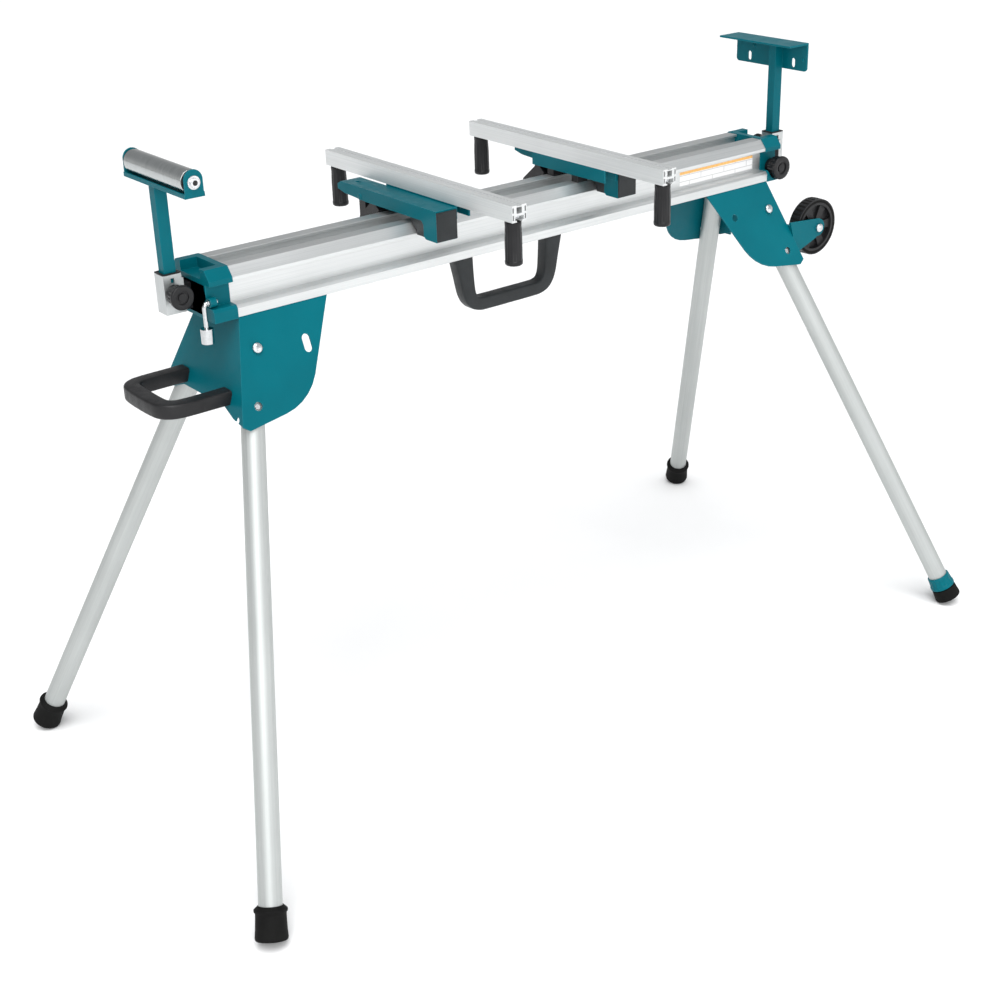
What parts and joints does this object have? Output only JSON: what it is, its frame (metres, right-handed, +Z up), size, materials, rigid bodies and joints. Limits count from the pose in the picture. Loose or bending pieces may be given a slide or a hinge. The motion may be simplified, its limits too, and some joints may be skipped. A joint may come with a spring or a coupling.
{
  "type": "folding mitre saw stand",
  "caption": "Folding work stand for a mitre saw: aluminium beam on splayed folding legs, clamp-on machine rails, pull-out arms with roller and length stop.",
  "frame": {"origin": "on the floor, below the middle of the beam", "axes": "+X along the beam towards the wheels and the stop, +Y away from the user, +Z up"},
  "size_m": [1.4434, 0.7308, 0.957],
  "materials": {
    "teal_paint": "semi-gloss powder coat",
    "aluminium": "satin extruded",
    "leg_aluminium": "satin drawn tube",
    "dark_tube": "satin black coat",
    "zinc": "zinc plated",
    "chrome": "polished",
    "roller_steel": "bright turned",
    "grey_plastic": "fine grain",
    "black_plastic": "fine grain",
    "black_rubber": "matt"
  },
  "bodies": {
    "stand": {"beam": "aluminium", "end_cap_left": "teal_paint", "end_cap_right": "teal_paint", "arm_guides": "black_plastic", "leg_bracket_left": "teal_paint", "leg_bracket_right": "teal_paint", "wheel_arms": "teal_paint", "frame_bolts": "zinc", "carry_handle": "grey_plastic", "drag_handle": "black_plastic"},
    "arm_left": {"extension_tube_left": "dark_tube", "post_socket_left": "aluminium"},
    "arm_right": {"extension_tube_right": "dark_tube", "post_socket_right": "aluminium"},
    "roller_post": {"roller_support": "teal_paint", "roller_axle": "zinc"},
    "stop_post": {"stop_support": "teal_paint"},
    "roller": {"roller_tube": "roller_steel", "roller_caps": "black_plastic"},
    "saddle_left": {"rail_left": "aluminium", "saddle_left": "teal_paint", "saddle_pads_left": "black_rubber", "saddle_pins_left": "zinc"},
    "saddle_right": {"rail_right": "aluminium", "saddle_right": "teal_paint", "saddle_pads_right": "black_rubber", "saddle_pins_right": "zinc"},
    "lever_left": {"clamp_lever_left": "teal_paint", "lever_pads_left": "grey_plastic"},
    "lever_right": {"clamp_lever_right": "teal_paint", "lever_pads_right": "grey_plastic"},
    "leg_front_left": {"leg_front_left": "leg_aluminium", "foot_front_left": "black_rubber"},
    "leg_rear_left": {"leg_rear_left": "leg_aluminium", "foot_rear_left": "black_rubber"},
    "leg_front_right": {"leg_front_right": "leg_aluminium"},
    "leg_rear_right": {"leg_rear_right": "leg_aluminium", "foot_rear_right": "black_rubber"},
    "foot_front_right": {"foot_front_right": "black_rubber"},
    "adjuster_collar": {"adjuster_collar": "teal_paint"},
    "cam_lever_left": {"cam_lever_left": "chrome"},
    "cam_lever_right": {"cam_lever_right": "chrome"},
    "arm_knob_left": {"arm_knob_left": "black_plastic"},
    "arm_knob_right": {"arm_knob_right": "black_plastic"},
    "post_knob_left": {"post_knob_left": "black_plastic"},
    "post_knob_right": {"post_knob_right": "black_plastic"},
    "wheel_front": {"wheel_front": "black_plastic"},
    "wheel_rear": {"wheel_rear": "black_plastic"},
    "tee_bolt_left_front": {"tee_bolt_left_front": "zinc"},
    "tee_bolt_left_rear": {"tee_bolt_left_rear": "zinc"},
    "tee_bolt_right_front": {"tee_bolt_right_front": "zinc"},
    "tee_bolt_right_rear": {"tee_bolt_right_rear": "zinc"},
    "clamp_knob_left_front": {"clamp_knob_left_front": "black_plastic"},
    "clamp_knob_left_rear": {"clamp_knob_left_rear": "black_plastic"},
    "clamp_knob_right_front": {"clamp_knob_right_front": "black_plastic"},
    "clamp_knob_right_rear": {"clamp_knob_right_rear": "black_plastic"},
    "button_front_left": {"button_front_left": "zinc"},
    "button_rear_left": {"button_rear_left": "zinc"},
    "button_front_right": {"button_front_right": "zinc"},
    "button_rear_right": {"button_rear_right": "zinc"}
  },
  "joints": [
    {"name": "fold_front_left", "type": "hinge", "parent": "stand", "child": "leg_front_left", "pos_m": [-0.487, -0.0528, 0.69296], "axis": [0, -0.9191, 0.3939], "range_deg": [0, 93.07]},
    {"name": "fold_rear_left", "type": "hinge", "parent": "stand", "child": "leg_rear_left", "pos_m": [-0.487, 0.0528, 0.69296], "axis": [0, -0.9191, -0.3939], "range_deg": [0, 93.07]},
    {"name": "fold_front_right", "type": "hinge", "parent": "stand", "child": "leg_front_right", "pos_m": [0.487, -0.0528, 0.69296], "axis": [0, 0.9191, -0.3939], "range_deg": [0, 106.07]},
    {"name": "fold_rear_right", "type": "hinge", "parent": "stand", "child": "leg_rear_right", "pos_m": [0.487, 0.0528, 0.69296], "axis": [0, 0.9191, 0.3939], "range_deg": [0, 106.07]},
    {"name": "extend_left", "type": "slide", "parent": "stand", "child": "arm_left", "axis": [-1, 0, 0], "range_m": [0, 0.69]},
    {"name": "extend_right", "type": "slide", "parent": "stand", "child": "arm_right", "axis": [1, 0, 0], "range_m": [0, 0.69]},
    {"name": "raise_roller", "type": "slide", "parent": "arm_left", "child": "roller_post", "axis": [0, 0, 1], "range_m": [-0.1, 0.01]},
    {"name": "raise_stop", "type": "slide", "parent": "arm_right", "child": "stop_post", "axis": [0, 0, 1], "range_m": [-0.1, 0.01]},
    {"name": "slide_left_rail", "type": "slide", "parent": "stand", "child": "saddle_left", "axis": [1, 0, 0], "range_m": [-0.28, 0.1]},
    {"name": "slide_right_rail", "type": "slide", "parent": "stand", "child": "saddle_right", "axis": [1, 0, 0], "range_m": [-0.1, 0.28]},
    {"name": "clamp_left", "type": "hinge", "parent": "saddle_left", "child": "lever_left", "pos_m": [-0.1923, 0.084, 0.822], "axis": [-1, 0, 0], "range_deg": [0, 30]},
    {"name": "clamp_right", "type": "hinge", "parent": "saddle_right", "child": "lever_right", "pos_m": [0.1423, 0.084, 0.822], "axis": [-1, 0, 0], "range_deg": [0, 30]},
    {"name": "cam_left", "type": "hinge", "parent": "stand", "child": "cam_lever_left", "pos_m": [-0.535, -0.043, 0.767], "axis": [-1, 0, 0], "range_deg": [0, 90]},
    {"name": "cam_right", "type": "hinge", "parent": "stand", "child": "cam_lever_right", "pos_m": [0.535, 0.043, 0.767], "axis": [1, 0, 0], "range_deg": [0, 90]},
    {"name": "roll", "type": "hinge", "parent": "roller_post", "child": "roller", "pos_m": [-0.567, -0.018, 0.941], "axis": [0, 1, 0], "continuous": true},
    {"name": "spin_wheel_front", "type": "hinge", "parent": "stand", "child": "wheel_front", "pos_m": [0.589, -0.078, 0.654], "axis": [0, 1, 0], "continuous": true},
    {"name": "spin_wheel_rear", "type": "hinge", "parent": "stand", "child": "wheel_rear", "pos_m": [0.589, 0.078, 0.654], "axis": [0, 1, 0], "continuous": true},
    {"name": "slide_clamp_left_front", "type": "slide", "parent": "saddle_left", "child": "tee_bolt_left_front", "axis": [0, 1, 0], "range_m": [0, 0.09]},
    {"name": "slide_clamp_right_front", "type": "slide", "parent": "saddle_right", "child": "tee_bolt_right_front", "axis": [0, 1, 0], "range_m": [0, 0.09]},
    {"name": "slide_clamp_left_rear", "type": "slide", "parent": "saddle_left", "child": "tee_bolt_left_rear", "axis": [0, -1, 0], "range_m": [0, 0.1]},
    {"name": "slide_clamp_right_rear", "type": "slide", "parent": "saddle_right", "child": "tee_bolt_right_rear", "axis": [0, -1, 0], "range_m": [0, 0.1]},
    {"name": "extend_foot", "type": "slide", "parent": "leg_front_right", "child": "foot_front_right", "axis": [0.2768, -0.3786, -0.8832], "range_m": [0, 0.03]},
    {"name": "twist_collar", "type": "hinge", "parent": "leg_front_right", "child": "adjuster_collar", "pos_m": [0.6927, -0.33413, 0.03657], "axis": [0.2768, -0.3786, -0.8832], "range_deg": [0, 90]},
    {"name": "turn_post_knob_left", "type": "hinge", "parent": "arm_left", "child": "post_knob_left", "pos_m": [-0.567, -0.03, 0.779], "axis": [0, -1, 0], "range_deg": [0, 360]},
    {"name": "turn_post_knob_right", "type": "hinge", "parent": "arm_right", "child": "post_knob_right", "pos_m": [0.567, 0.03, 0.779], "axis": [0, 1, 0], "range_deg": [0, 360]},
    {"name": "turn_arm_knob_left", "type": "hinge", "parent": "stand", "child": "arm_knob_left", "pos_m": [-0.522, 0.05, 0.762], "axis": [0, 1, 0], "range_deg": [0, 360]},
    {"name": "turn_arm_knob_right", "type": "hinge", "parent": "stand", "child": "arm_knob_right", "pos_m": [0.522, -0.05, 0.762], "axis": [0, -1, 0], "range_deg": [0, 360]},
    {"name": "turn_clamp_knob_left_front", "type": "hinge", "parent": "tee_bolt_left_front", "child": "clamp_knob_left_front", "pos_m": [-0.162, -0.21, 0.8], "axis": [0, 0, -1], "range_deg": [0, 360]},
    {"name": "turn_clamp_knob_left_rear", "type": "hinge", "parent": "tee_bolt_left_rear", "child": "clamp_knob_left_rear", "pos_m": [-0.162, 0.21, 0.8], "axis": [0, 0, -1], "range_deg": [0, 360]},
    {"name": "turn_clamp_knob_right_front", "type": "hinge", "parent": "tee_bolt_right_front", "child": "clamp_knob_right_front", "pos_m": [0.112, -0.21, 0.8], "axis": [0, 0, -1], "range_deg": [0, 360]},
    {"name": "turn_clamp_knob_right_rear", "type": "hinge", "parent": "tee_bolt_right_rear", "child": "clamp_knob_right_rear", "pos_m": [0.112, 0.21, 0.8], "axis": [0, 0, -1], "range_deg": [0, 360]},
    {"name": "press_button_front_left", "type": "slide", "parent": "leg_front_left", "child": "button_front_left", "axis": [0, 0.9191, -0.3939], "range_m": [0, 0.005], "stiffness_N_per_m": 1500, "springref_m": -0.002},
    {"name": "press_button_rear_left", "type": "slide", "parent": "leg_rear_left", "child": "button_rear_left", "axis": [0, -0.9191, -0.3939], "range_m": [0, 0.005], "stiffness_N_per_m": 1500, "springref_m": -0.002},
    {"name": "press_button_front_right", "type": "slide", "parent": "leg_front_right", "child": "button_front_right", "axis": [0, 0.9191, -0.3939], "range_m": [0, 0.005], "stiffness_N_per_m": 1500, "springref_m": -0.002},
    {"name": "press_button_rear_right", "type": "slide", "parent": "leg_rear_right", "child": "button_rear_right", "axis": [0, -0.9191, -0.3939], "range_m": [0, 0.005], "stiffness_N_per_m": 1500, "springref_m": -0.002}
  ]
}
